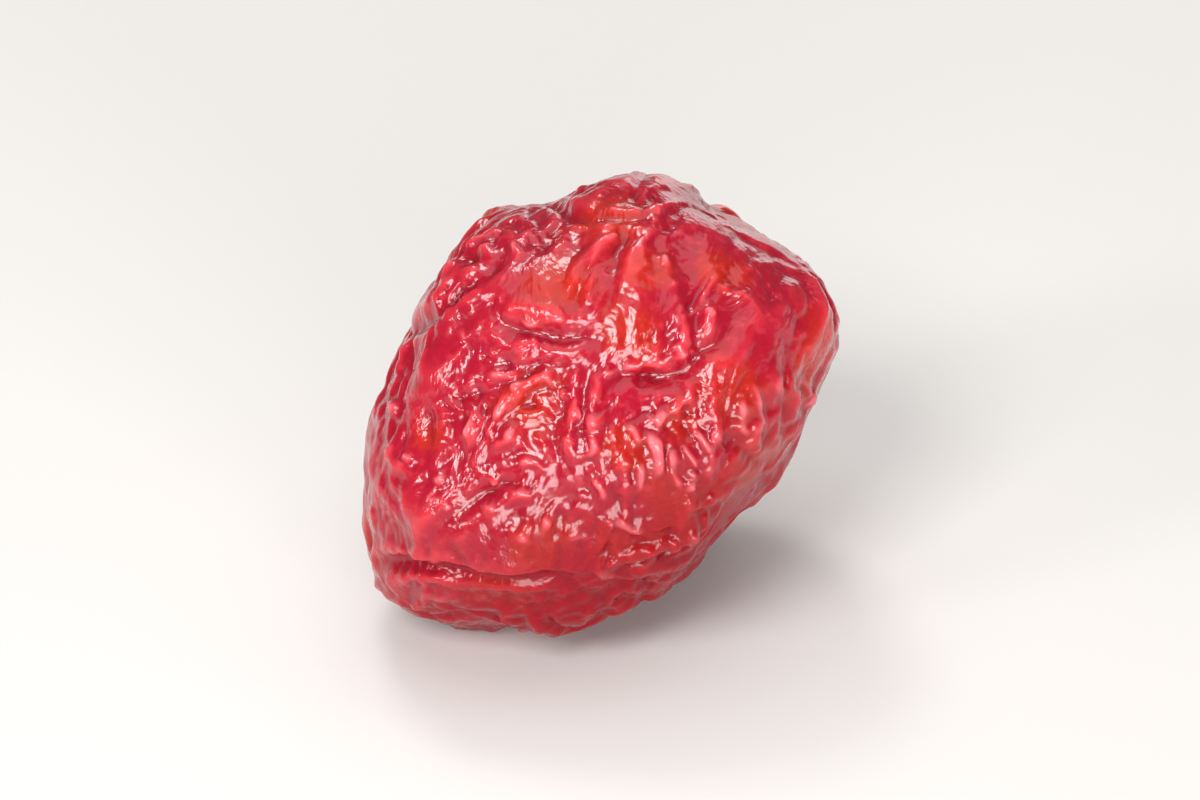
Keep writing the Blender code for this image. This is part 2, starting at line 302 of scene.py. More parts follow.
# Raised folds of the face: height, width, and places.
ridges = [
    (0.50, 0.50, [(4.9, 11.8), (5.1, 10.0), (5.5, 7.9)]),
    (0.50, 0.45, [(4.1, -0.8), (4.0, -2.9), (4.1, -4.9)]),
    (0.45, 0.40, [(5.5, -2.4), (5.9, -3.8), (6.4, -4.8)]),
    (0.45, 0.40, [(6.4, -1.9), (7.4, -3.1), (8.1, -3.9)]),
    (0.55, 0.45, [(8.5, 1.5), (8.6, -1.1), (8.5, -2.9), (7.9, -4.0)]),
    (0.50, 0.45, [(11.0, 1.7), (10.9, -0.6), (11.4, -1.9)]),
    (0.40, 0.50, [(14.4, 2.8), (14.8, 1.0), (14.5, -0.8)]),
    (0.40, 0.40, [(1.8, -2.9), (2.0, -4.9), (2.8, -5.8)]),
    (0.45, 0.45, [(8.2, 1.5), (5.9, 0.5), (3.8, -0.6), (2.3, -0.1)]),
    (0.55, 0.45, [(-3.1, 3.0), (-5.4, 2.3), (-7.0, 0.7), (-8.0, -1.0)]),
    (0.50, 0.40, [(-8.5, 0.5), (-9.2, -0.8), (-9.8, -2.2)]),
    (0.50, 0.40, [(-8.8, 2.6), (-7.2, 2.8), (-5.7, 3.3)]),
    (0.50, 0.45, [(-1.8, 3.8), (-2.2, 1.5), (-1.8, -0.8)]),
    (0.50, 0.45, [(0.2, 3.0), (-0.5, 0.5), (-0.2, -1.9)]),
    (0.40, 0.40, [(-2.6, -1.1), (-1.8, -3.0), (-0.3, -2.2)]),
    (0.40, 0.40, [(-7.9, -2.4), (-5.8, -1.4)]),
    (0.45, 0.40, [(-15.6, -1.6), (-14.8, -3.4), (-13.7, -4.0)]),
    (0.50, 0.40, [(-5.9, -9.2), (-4.8, -7.6)]),
    (0.40, 0.40, [(-3.8, -7.5), (-4.3, -9.3)]),
]
# Small raised folds and dabs of the face, laid on the finished skin: height, width, places.
strokes = [
    (0.42, 0.42, [(6.6, 1.2), (5.9, 0.6), (5.0, 0.0), (4.4, -0.4), (4.1, -1.2), (4.0, -2.2)]),
    (0.70, 0.60, [(3.9, -1.0), (3.9, -2.9), (4.1, -4.0), (4.2, -5.3)]),
    (0.25, 0.35, [(3.4, -0.2), (4.1, -0.9)]),
    (0.30, 0.36, [(1.6, -0.8), (2.4, -1.2), (2.9, -2.2), (3.1, -3.0)]),
    (0.42, 0.46, [(1.5, -3.0), (1.9, -4.4), (2.3, -6.0)]),
    (0.44, 0.44, [(3.2, -3.4), (2.9, -4.8), (2.6, -6.2)]),
    (0.64, 0.50, [(5.2, -2.4), (5.4, -3.4), (5.6, -4.4), (5.9, -5.6)]),
    (0.58, 0.40, [(6.0, -2.2), (6.6, -3.0), (7.3, -4.0)]),
    (0.56, 0.40, [(7.0, -1.2), (7.6, -2.2), (8.4, -3.0)]),
    (0.42, 0.38, [(8.3, 1.2), (8.2, 0.0), (8.5, -1.3), (8.4, -2.6), (8.2, -3.6), (7.9, -4.3), (7.3, -4.3)]),
    (0.50, 0.40, [(6.6, -4.0), (6.9, -4.9), (6.3, -5.8)]),
    (0.50, 0.48, [(10.6, 1.2), (10.4, 0.0), (10.5, -1.0), (11.0, -1.9)]),
    (0.34, 0.36, [(11.0, 3.0), (11.2, 2.2), (11.5, 1.2), (11.7, -0.2), (11.5, -1.3), (11.0, -1.9)]),
    (0.25, 0.36, [(13.3, 3.2), (13.0, 2.2), (13.2, 1.2)]),
    (0.40, 0.40, [(14.2, 2.2), (15.2, 2.2), (15.6, 1.2), (15.1, 0.4), (14.4, -0.9)]),
    (0.32, 0.34, [(14.2, 1.8), (14.9, 1.2), (14.6, 0.4), (13.8, 0.4)]),
    (0.46, 0.48, [(5.2, -9.1), (6.2, -9.3), (7.3, -8.6)]),
    (0.60, 0.58, [(0.2, -7.5), (1.7, -8.0), (3.5, -8.7)]),
    (0.50, 0.50, [(-0.4, -11.8), (1.4, -11.3)]),
    (0.46, 0.50, [(2.6, -11.4), (3.6, -10.9), (4.6, -10.2)]),
    (0.34, 0.38, [(-2.6, -9.4), (-1.4, -8.9), (-0.6, -9.2)]),
    (0.32, 0.40, [(-3.0, -6.9), (-2.2, -6.7)]),
    (0.32, 0.40, [(-1.5, -6.2), (-0.8, -5.8)]),
    (0.34, 0.36, [(-0.6, -4.6), (0.2, -5.4), (0.4, -6.4)]),
    (0.34, 0.42, [(-5.2, 2.4), (-6.1, 1.9), (-6.5, 1.0), (-7.4, 0.0), (-8.1, -1.1)]),
    (0.30, 0.44, [(-5.4, 2.5), (-4.2, 2.8), (-3.4, 1.7), (-3.3, 0.2)]),
    (0.34, 0.34, [(-8.3, 2.8), (-6.9, 2.8), (-5.9, 3.3)]),
    (0.38, 0.34, [(-8.5, 0.3), (-9.3, -1.0), (-9.9, -2.2)]),
    (0.34, 0.36, [(-7.8, -1.9), (-7.1, -2.1), (-6.3, -1.4), (-5.8, -1.4)]),
    (0.34, 0.46, [(-1.9, 3.4), (-1.9, 1.8)]),
    (0.30, 0.36, [(-2.6, 1.9), (-2.7, 1.0)]),
    (0.30, 0.36, [(-1.9, 0.6), (-1.3, -0.6)]),
    (0.32, 0.42, [(-0.2, 2.2), (-0.5, 0.5), (-0.3, -2.0), (-0.7, -3.0), (-1.7, -3.4)]),
    (0.28, 0.34, [(-2.4, -1.6), (-2.3, -2.4)]),
    (0.30, 0.36, [(-6.0, -3.7), (-5.1, -3.5), (-4.1, -3.8), (-3.5, -4.4)]),
    (0.28, 0.34, [(-7.9, -5.3), (-7.3, -4.6)]),
    (0.28, 0.34, [(-11.4, -7.0), (-10.8, -6.7)]),
    (0.55, 0.50, [(-4.9, -7.7), (-5.2, -8.6), (-5.8, -9.5)]),
    (0.52, 0.46, [(-3.4, -7.4), (-4.1, -8.2), (-4.3, -9.1), (-3.8, -9.7), (-3.0, -9.6)]),
    (0.34, 0.50, [(-15.5, 0.6), (-14.9, 0.2)]),
    (0.30, 0.36, [(-15.6, 2.2), (-15.1, 1.4)]),
    (0.32, 0.34, [(-15.2, -2.0), (-15.3, -3.0), (-14.8, -3.6), (-14.2, -4.1)]),
    (0.30, 0.34, [(-14.6, -3.1), (-13.5, -3.5)]),
    (0.30, 0.36, [(-6.8, 7.1), (-5.8, 6.8), (-4.8, 6.6), (-3.2, 6.9), (-1.5, 6.7)]),
    (0.32, 0.38, [(-10.0, 6.2), (-9.7, 5.2)]),
    (0.28, 0.36, [(0.3, 12.6), (1.4, 13.2)]),
    (0.28, 0.36, [(2.5, 10.5), (3.6, 10.5)]),
    (0.34, 0.34, [(4.7, 11.9), (4.8, 10.8), (5.2, 9.9)]),
    (0.28, 0.34, [(5.2, 9.4), (5.9, 9.4)]),
    (0.30, 0.34, [(6.7, 4.8), (6.8, 3.8)]),
    (0.28, 0.34, [(1.4, 4.6), (2.7, 5.2)]),
    (0.34, 0.38, [(-0.2, 2.5), (1.1, 3.1), (2.4, 3.5), (3.8, 3.7), (5.2, 3.7)]),
    (0.40, 0.50, [(5.3, 5.1), (5.8, 4.5), (6.3, 4.0)]),
    (0.26, 0.34, [(3.6, 5.2), (3.4, 4.3)]),
    (0.30, 0.36, [(7.9, 7.8), (8.3, 6.9)]),
    (0.28, 0.34, [(-9.0, 12.2), (-7.8, 12.2)]),
    (0.30, 0.34, [(-6.2, 12.8), (-6.2, 11.2)]),
    (0.26, 0.34, [(-5.9, 14.4), (-5.3, 14.2)]),
    (0.40, 0.42, [(-13.4, -13.3), (-11.8, -13.4), (-10.0, -13.1)]),
    (0.36, 0.40, [(-9.4, -13.6), (-8.2, -13.2)]),
    (0.32, 0.38, [(-8.6, -6.6), (-7.8, -6.9), (-7.2, -6.5)]),
    (0.34, 0.40, [(-12.0, -5.2), (-11.2, -4.6)]),
    (0.34, 0.38, [(-6.6, -5.6), (-5.6, -5.9), (-4.8, -5.6)]),
]


def longCreases(points):
    # A crest or a crease wherever a random wave, drawn out along the stem's way, crosses zero:
    # the wave over its usual steepness is about the distance from there.
    side = unit(np.array(stem["side"]))
    drawn = points - np.outer(points @ side, side) * (1 - 1 / flesh["stretch"])
    face = np.clip(points @ out / body["frontDepth"], 0, 1)
    share = 1 - (1 - flesh["faceShare"]) * face * face * (3 - 2 * face)
    height = np.zeros(len(points))
    for i, (length, rise, width) in enumerate(flesh["creases"]):
        steepness = 2 * np.pi / length / math.sqrt(3)
        away = randomWaves(drawn, length, flesh["creaseSeed"] + i) / steepness
        height += rise * share * crest(away, width)
    return height


def faceFolds(points):
    # The pillows, exp(-(distance/radius)^2) each, the grooves and the ridges of the face, added up.
    height = np.zeros(len(points))
    front = points @ out > 0
    near = points[front]
    for rise, radius, place in pillows:
        away = np.linalg.norm(near - onFace([place])[0], axis=1)
        height[front] += rise * np.exp(-((away / radius) ** 2))
    for depth, width, lip, places in grooves:
        valley = groove(near, smoothPath(onFace(places)), depth, flesh["foldWidth"] * width, lip)
        height[front] += flesh["grooveStrength"] * valley
    for rise, width, places in ridges:
        path = smoothPath(onFace(places))
        height[front] += ridge(near, path, flesh["ridgeStrength"] * rise, width)
    return height


def fleshForm(directions):
    # The body in each direction, raised or sunk along it by every form above.
    plain = directions * bodyRadius(directions)[:, None]
    relief = longCreases(plain) + stemEnd(plain) + faceFolds(plain)
    for i, (length, height) in enumerate(flesh["swells"]):
        relief += height * randomWaves(plain, length, flesh["swellSeed"] + i)
    return plain + directions * relief[:, None]


# The skin: it has lost less than the flesh in drying, so it is too large and wrinkles.
skin = {
    "coarseSquares": 64,  # along each of the six sides of the net
    "toFace": 0.25,  # how far the net is drawn towards the best side, for finer folds there
    "coarse": {
        "growth": 0.100,
        "push": -0.3,  # how much harder it is to rise than to sink: below 0 crests are sharp
        "bend": 4.0,  # stiffness
        "hold": 0.080,  # of the flesh, which sets the folds' size
        "steps": 300,
        "evening": 40,  # rounds of smoothing that find the slow rise, which is taken off
        "seed": 1,
    },
    "fine": {
        "growth": 0.128,
        "push": 0.0,
        "bend": 4.0,
        "hold": 0.200,
        "steps": 240,
        "evening": 40,
        "seed": 2,
    },
    "slide": 0.02,  # hold of the flesh along the skin
    "across": 0.75,  # how much more the skin grows across its folds than along them
    "nudge": 0.05,  # random start, in squares of the net
    "growTime": 0.7,  # share of the steps in which it grows
    "drag": 0.93,  # speed kept at each step
    "pace": 0.2,
    "patchy": {"length": 9, "seed": 31, "waves": 20, "mean": 1, "contrast": 0.35, "range": (0.35, 1.3)},
    "zones": {"length": 11, "seed": 41, "waves": 20, "mean": 0.8, "contrast": 0.35, "range": (0.3, 1.2)},
    "coarseOnPads": (0.2, 0.8),  # growth everywhere, and what the pads take away
    "grainOnPads": (0.3, 0.7),
    "rimCalm": 0.45,  # how much less it wrinkles round the outline, which is smooth
    "rimReach": 6,
    "padGrowth": 0.15,
    "creaseLimit": 0.32,  # mm, past which a crease hardly gets deeper
    "creaseRounds": 30,  # of smoothing, over which its depth is measured
    "softening": (0.6, 0.4),  # own place and neighbours' mean
    "reliefRounds": 60,
    "grain": [(1.9, 0.055), (1.15, 0.035)],  # small bumps: wave length, height
    "grainWaves": 48,
    "grainSeed": 61,
    "drawnOut": 1.5,  # their length over their width
    "bendLength": 6.0,
    "bendReach": 0.5,
    "bendSeed": 51,
}
# Which way folds run: off the stem's way by a slow random angle, and with the ridges near them.
headings = {
    "lean": 0.9,  # radians
    "leanLength": 15,
    "leanSeed": 11,
    "leanWeight": 0.12,
    "ridgeReach": 2.2,
}
# Smooth pads of the face, where the skin stays stretched: right, up, radius.
pads = [
    (4.2, 8.8, 3.2), (-4.4, 9.3, 3.4), (9.0, 12.5, 3.0), (-5.5, -10.2, 3.2), (11.8, -4.6, 3.0),
    (5.9, -3.8, 2.6), (-12.5, -8.0, 2.4), (-13.0, 2.0, 2.0), (-9.5, 6.2, 2.0), (-3.0, -5.0, 2.0),
    (6.5, 16.0, 3.0), (13.0, 12.0, 3.2), (0.8, 14.2, 2.2), (0.8, 6.4, 2.0), (9.5, -6.9, 2.0),
    (2.0, 17.4, 2.6), (10.8, 0.0, 1.8), (15.0, -2.5, 3.4), (11.5, -8.4, 3.2), (-16.8, -4.5, 2.8),
    (5.0, 18.0, 3.0),
]

# Orange patches of the face: right, up, radius. Behind, a slow random pattern takes over.
warmPatches = [
    (0.8, 14.2, 3.0), (-2.6, 9.4, 2.6), (2.2, 6.2, 2.4), (6.5, -6.8, 4.0), (2.5, -9.8, 2.6),
    (16.2, 4.2, 3.2), (10.0, 1.0, 2.8), (9.0, 10.3, 2.4), (-5.0, 0.8, 2.4), (11.5, -3.8, 3.6),
    (4.0, -14.0, 3.4), (2.0, -2.4, 1.9), (6.2, -0.8, 1.8), (-12.6, -1.6, 1.3), (-6.6, -13.6, 3.0),
    (3.5, 10.5, 2.2), (-4.5, -9.6, 2.2),
]
warmBehind = {"length": 13, "seed": 71, "waves": 20, "mean": 0.5, "contrast": 0.9, "range": (0, 1)}
warmBlend = 5  # mm towards the best side over which the patches take over


def valuesOf(mesh, group, name, wide, kind=np.float64):
    # One layer of a mesh as an array with so many numbers in a row.
    values = np.empty(len(getattr(mesh, group)) * wide, kind)
    getattr(mesh, group).foreach_get(name, values)
    return values.reshape(-1, wide)


def squareNet(squares):
    # A cube's six sides cut into squares, evened by a tangent, as directions from the middle.
    cube = bmesh.new()
    bmesh.ops.create_cube(cube, size=2)
    bmesh.ops.subdivide_edges(cube, edges=cube.edges[:], cuts=squares - 1, use_grid_fill=True)
    mesh = bpy.data.meshes.new("plumNet")
    cube.to_mesh(mesh)
    cube.free()
    even = unit(np.tan(valuesOf(mesh, "vertices", "co", 3) * math.pi / 4))
    return mesh, unit(even + skin["toFace"] * out)


def neighbourTable(mesh):
    # Four neighbours along edges and four across corners; a point with fewer repeats itself.
    count = len(mesh.vertices)
    edges = valuesOf(mesh, "edges", "vertices", 2, np.int32)
    quads = valuesOf(mesh, "polygons", "vertices", 4, np.int32)
    tables = []
    for pairs in (edges, np.vstack([quads[:, [0, 2]], quads[:, [1, 3]]])):
        both = np.vstack([pairs, pairs[:, ::-1]])
        both = both[np.argsort(both[:, 0], kind="stable")]
        first = np.searchsorted(both[:, 0], np.arange(count))
        table = np.tile(np.arange(count)[:, None], (1, 4))
        table[both[:, 0], np.arange(len(both)) - first[both[:, 0]]] = both[:, 1]
        tables.append(table)
    return np.hstack(tables)


def normalsOf(mesh, points):
    # The mesh's normals with the points in it.
    mesh.vertices.foreach_set("co", points.ravel())
    mesh.update()
    return valuesOf(mesh, "vertices", "normal", 3)


def foldHeadings(points):
    # Heading times heading, summed over the folds near by, as matrices of trace one.
    side = unit(np.array(stem["side"]))
    normal = unit(points)
    toStem = unit(side - (normal @ side)[:, None] * normal)
    lean = headings["lean"] * randomWaves(points, headings["leanLength"], headings["leanSeed"])[:, None]
    heading = np.cos(lean) * toStem + np.sin(lean) * np.cross(normal, toStem)
    total = headings["leanWeight"] * heading[:, :, None] * heading[:, None, :]
    for height, width, places in ridges:
        distance, share, way = along(points, smoothPath(onFace(places)))
        weight = np.exp(-((distance / headings["ridgeReach"]) ** 2))
        total += weight[:, None, None] * way[:, :, None] * way[:, None, :]
    return total / np.trace(total, axis1=1, axis2=2)[:, None, None]


def padShare(points):
    # Growth left at each point: little on the pads, exp(-(distance/radius)^4) each, less round
    # the outline, and slowly varying elsewhere.
    share = uneven(points, skin["patchy"])
    share *= 1 - skin["rimCalm"] * np.exp(-((points @ out / skin["rimReach"]) ** 2))
    front = points @ out > 0
    for across, high, radius in pads:
        away = np.linalg.norm(points[front] - onFace([(across, high)])[0], axis=1) / radius
        share[front] *= 1 - (1 - skin["padGrowth"]) * np.exp(-(away**4))
    return share


def spread(values, table):
    # The mean of each point's four neighbours.
    return (values[table[:, 0]] + values[table[:, 1]] + values[table[:, 2]] + values[table[:, 3]]) / 4


def wrinkle(mesh, points, growth, ways, way):
    # The skin is a net of springs that grow by growth, most across ways. Each step adds up
    # the springs' pull, the skin's stiffness (neighbours' mean, twice) and the flesh's hold.
    rng = np.random.default_rng(way["seed"])
    table = neighbourTable(mesh)
    normal = normalsOf(mesh, points).astype(np.float32)
    start = points.astype(np.float32)
    links = start[table] - start[:, None]
    rest = np.linalg.norm(links, axis=2)
    missing = rest == 0
    rest[missing] = 1
    links /= rest[:, :, None]
    aligned = np.einsum("nki,nij,nkj->nk", links, ways.astype(np.float32), links)
    grown = 0.5 * (growth[:, None] + growth[table]) * (1 + skin["across"] * (1 - 2 * aligned))
    grown = grown.astype(np.float32)
    step = np.median(rest[:, :4])
    nudge = rng.normal(size=len(start)) * skin["nudge"] * step
    points = start + normal * nudge[:, None].astype(np.float32)
    speed = np.zeros_like(points)
    for i in range(way["steps"]):
        share = min(1, (i + 1) / (skin["growTime"] * way["steps"]))
        force = np.zeros_like(points)
        for k in range(8):
            link = points[table[:, k]] - points
            length = np.sqrt(np.einsum("ij,ij->i", link, link)) + 1e-9
            pull = 1 - rest[:, k] * (1 + grown[:, k] * share) / length
            pull[missing[:, k]] = 0
            force += pull[:, None] * link
        moved = points - start
        bent = spread(moved, table) - moved
        force -= way["bend"] * (spread(bent, table) - bent)
        rise = np.einsum("ij,ij->i", moved, normal)
        held = way["hold"] * (1 + way["push"] * np.tanh(rise / step))
        force -= (held * rise)[:, None] * normal + skin["slide"] * (moved - rise[:, None] * normal)
        speed = skin["drag"] * speed + skin["pace"] * force
        points = points + skin["pace"] * speed
    # The slow part of the rise is taken off again, so that the fruit keeps its size.
    rise = np.einsum("ij,ij->i", points - start, normal)
    for i in range(way["evening"]):
        rise = spread(rise, table)
    return (points - rise[:, None] * normal).astype(np.float64)


def setDown(points):
    # Lowers the fruit until it has sunk a little onto the floor, pressed flat there, and centres it.
    lift = -points[:, 2].min() - body["sink"]
    above = points[:, 2] + lift
    soft = np.clip(above + body["footSoftness"], 0, None) ** 2 / (4 * body["footSoftness"])
    points[:, 2] = np.where(above > body["footSoftness"], above, soft)
    middle = (points[:, :2].min(axis=0) + points[:, :2].max(axis=0)) / 2
    points[:, :2] -= middle
    return points, np.array([-middle[0], -middle[1], lift])


def warmth(points):
    # 1 where the skin is orange, on listed patches and on random ones behind, 0 where crimson.
    warm = uneven(points, warmBehind)
    front = np.clip(points @ out / warmBlend, 0, 1)
    warm *= 1 - front
    for across, high, radius in warmPatches:
        away = np.linalg.norm(points - onFace([(across, high)])[0], axis=1) / radius
        warm = np.maximum(warm, front * np.exp(-(away**2)))
    return warm


def heightOver(points, normal, table, rounds):
    # Height of each point over the skin smoothed by so many rounds of neighbours' means.
    smooth = points
    for i in range(rounds):
        smooth = spread(smooth, table)
    return np.einsum("ij,ij->i", points - smooth, normal)


def shallower(mesh, points):
    # Creases are filled up softly: below the smoothed skin, depth becomes limit tanh(depth/limit).
    table = neighbourTable(mesh)
    normal = normalsOf(mesh, points)
    depth = np.clip(-heightOver(points, normal, table, skin["creaseRounds"]), 0, None)
    limit = skin["creaseLimit"]
    points = points + (depth - limit * np.tanh(depth / limit))[:, None] * normal
    own, around = skin["softening"]
    return own * points + around * spread(points, table)


# The shape of strokes, the beads along them, and the painted highlight along their tops.
strokeShape = {
    "topShare": 0.65,
    "topPower": 2.5,  # flat-topped above 2
    "footShare": 0.35,
    "footReach": 5,  # widths, squared
    "fullHighlightRise": 0.6,  # mm, the height from which a fold's top gets the full painted highlight
    "paleWidth": 1.5,  # the painted highlight line is narrower than the fold by this
    "beads": {"length": 1.7, "seed": 81, "waves": 32, "mean": 0.75, "contrast": 0.4, "range": (0.3, 1.2)},
}


def strokeRelief(points):
    # Rounded folds on the lines of strokes, as seen in the face's plane: a flat-topped
    # exp(-(distance/width)^2.5) on a foot about twice as wide, beaded by a random wave. A painted
    # pale highlight along their tops, standing in for their glints, is the second result.
    height = np.zeros(len(points))
    topHighlight = np.zeros(len(points))
    front = points @ out > 0
    seen = np.stack([points[front] @ right, points[front] @ up, np.zeros(front.sum())], axis=1)
    beads = uneven(points[front], strokeShape["beads"])
    for rise, width, places in strokes:
        path = smoothPath(np.array([(across, high, 0.0) for across, high in places]))
        distance, share, heading = along(seen, path)
        near = distance / width
        top = strokeShape["topShare"] * np.exp(-(near ** strokeShape["topPower"]))
        foot = strokeShape["footShare"] * np.exp(-(near**2) / strokeShape["footReach"])
        height[front] = np.maximum(height[front], rise * (endFade(share) * (top + foot)) * beads)
        # Strength of the painted pale highlight along the top.
        paleHighlight = min(1.0, rise / strokeShape["fullHighlightRise"]) * endFade(share)
        line = np.exp(-((strokeShape["paleWidth"] * near) ** 2))
        topHighlight[front] = np.maximum(topHighlight[front], paleHighlight * line * beads)
    return height, topHighlight


def grainRelief(points):
    # Small rounded bumps: random waves drawn out a little along the stem's way.
    drawn = drawnPlaces(points)
    height = np.zeros(len(points))
    for i, (length, rise) in enumerate(skin["grain"]):
        height += rise * randomWaves(drawn, length, skin["grainSeed"] + i, skin["grainWaves"])
    return height


def drawnPlaces(points):
    # The places in mm, shortened along the stem's way and bent by slow waves: a pattern laid
    # over them is drawn out from stem to tip and meanders.
    side = unit(np.array(stem["side"]))
    drawn = points - np.outer(points @ side, side) * (1 - 1 / skin["drawnOut"])
    bends = [randomWaves(points, skin["bendLength"], skin["bendSeed"] + i) for i in range(3)]
    return drawn + skin["bendReach"] * np.stack(bends, axis=1)


def makePlum():
    # Flesh, then coarse wrinkles on a coarse net, then fine ones on the net subdivided once,
    # the strokes and the grain; the fruit is set down, and masks for the material are stored.
    mesh, directions = squareNet(skin["coarseSquares"])
    start = fleshForm(directions)
    report("flesh")
    least, most = skin["coarseOnPads"]
    zone = uneven(start, skin["zones"]) * (least + most * padShare(start))
    coarse = skin["coarse"]
    points = wrinkle(mesh, start, coarse["growth"] * zone, foldHeadings(start), coarse)
    report("coarse wrinkles")
    mesh.vertices.foreach_set("co", points.ravel())
    net = bpy.data.objects.new("plumNet", mesh)
    bpy.context.scene.collection.objects.link(net)
    finer = net.modifiers.new("finer", "SUBSURF")
    finer.levels = finer.render_levels = 1
    seen = net.evaluated_get(bpy.context.evaluated_depsgraph_get())
    plumMesh = bpy.data.meshes.new_from_object(seen)
    plumMesh.name = "plumSkin"
    bpy.data.objects.remove(net)
    points = valuesOf(plumMesh, "vertices", "co", 3)
    topHighlight = np.zeros(len(points))
    fine = skin["fine"]
    growth = fine["growth"] * padShare(points)
    points = wrinkle(plumMesh, points, growth, foldHeadings(points), fine)
    points = shallower(plumMesh, points)
    # the second result is the painted highlight along the fold tops
    raised, topHighlight = strokeRelief(points)
    least, most = skin["grainOnPads"]
    raised += grainRelief(points) * (least + most * padShare(points))
    points += normalsOf(plumMesh, points) * raised[:, None]
    report("fine wrinkles")
    points, setting = setDown(points)
    onBody = points - setting
    normal = normalsOf(plumMesh, points)
    painted = {
        "relief": heightOver(points, normal, neighbourTable(plumMesh), skin["reliefRounds"]),
        "warmth": warmth(onBody),
        "crinkled": padShare(onBody),
        "topHighlight": topHighlight,
    }
    for name, values in painted.items():
        attribute = plumMesh.attributes.new(name, "FLOAT", "POINT")
        attribute.data.foreach_set("value", values.astype(np.float32))
    drawn = plumMesh.attributes.new("drawn", "FLOAT_VECTOR", "POINT")
    drawn.data.foreach_set("vector", drawnPlaces(points).astype(np.float32).ravel())
    plumMesh.vertices.foreach_set("co", (points * 0.001).ravel())
    plumMesh.update()
    plumMesh.shade_smooth()
    plum = bpy.data.objects.new("plumSkin", plumMesh)
    bpy.context.scene.collection.objects.link(plum)
    return plum


def linear(hexColour, alpha=1):
    # sRGB hex to linear light.
    parts = [int(hexColour[i : i + 2], 16) / 255 for i in (0, 2, 4)]
    return [p / 12.92 if p < 0.04045 else ((p + 0.055) / 1.055) ** 2.4 for p in parts] + [alpha]


def addNode(tree, kind, links, **settings):
    # One node: links maps a socket's name or number to another node's output or to a value.
    node = tree.nodes.new("ShaderNode" + kind)
    for name, value in settings.items():
        setattr(node, name, value)
    for name, value in links.items():
        if isinstance(value, bpy.types.NodeSocket):
            tree.links.new(value, node.inputs[name])
        else:
            node.inputs[name].default_value = value
    return node


# Dried plum skin: a thin wet film over red flesh that light goes into. It gives the eye sharp
# small glints on every crest, a pale veil where it faces the sky, and a glow where it is thin.
plumFinish = {
    "crimson": "940E25",
    "orange": "9F1D10",
    # dark tone: random mottle, and painted shade in the creases
    "crease": "880A1B",
    # pale tone: random specks, and painted light on the crests
    "crest": "CC3E48",
    # painted highlight on the fold tops, where glints fall
    "paleHighlight": "E4828A",
    # painted shade on the underside
    "underShade": "740A14",
    # Noise patterns: size in mm, detail.
    "patches": (4, 3),
    "mottle": (2.2, 3),
    "specks": (0.8, 2),
    "streaks": (2.5, 3),
    "grainSize": 0.5,  # mm
    "grainHeight": 0.07,  # mm
    # Masks: from and to of what is read, then what these two give.
    "patchEdge": (0.3, 0.7, -0.25, 0.25),
    "orangeShare": (0.1, 0.8, 0.0, 1.0),
    "mottleShare": (0.35, 0.75, 0.0, 0.35),
    "speckShare": (0.5, 0.75, 0.0, 0.3),
    # painted shade: darker where the skin lies in a crease
    "creaseShadeShare": (0.0, -0.45, 0.0, 1.0),  # mm under the smoothed skin
    # painted light: paler where the skin rises to a crest
    "litCrestShare": (0.04, 0.45, 0.0, 0.45),  # mm over it
    # painted highlight along the fold tops
    "paleHighlightShare": (0.1, 0.9, 0.0, 0.62),
    # painted shade: darker towards the shaded underside
    "underShadeShare": (-0.001, 0.016, 0.0, 0.92),  # metres from the middle towards shadedSide
    "film": (0.002, 0.014, 0.9, 0.35),  # the same way: it is rubbed off the underside
    "roughness": (0.2, 0.75, 0.38, 0.20),  # of the smooth pads, and of the crinkles
    "streakShare": (0.3, 0.7, -0.05, 0.05),
    "shadedSide": (0.34, -0.48, -0.81),  # the shaded underside
    "glowDepth": 2.9,  # mm
    "glowColour": (1.0, 0.18, 0.12),  # red goes deepest
}


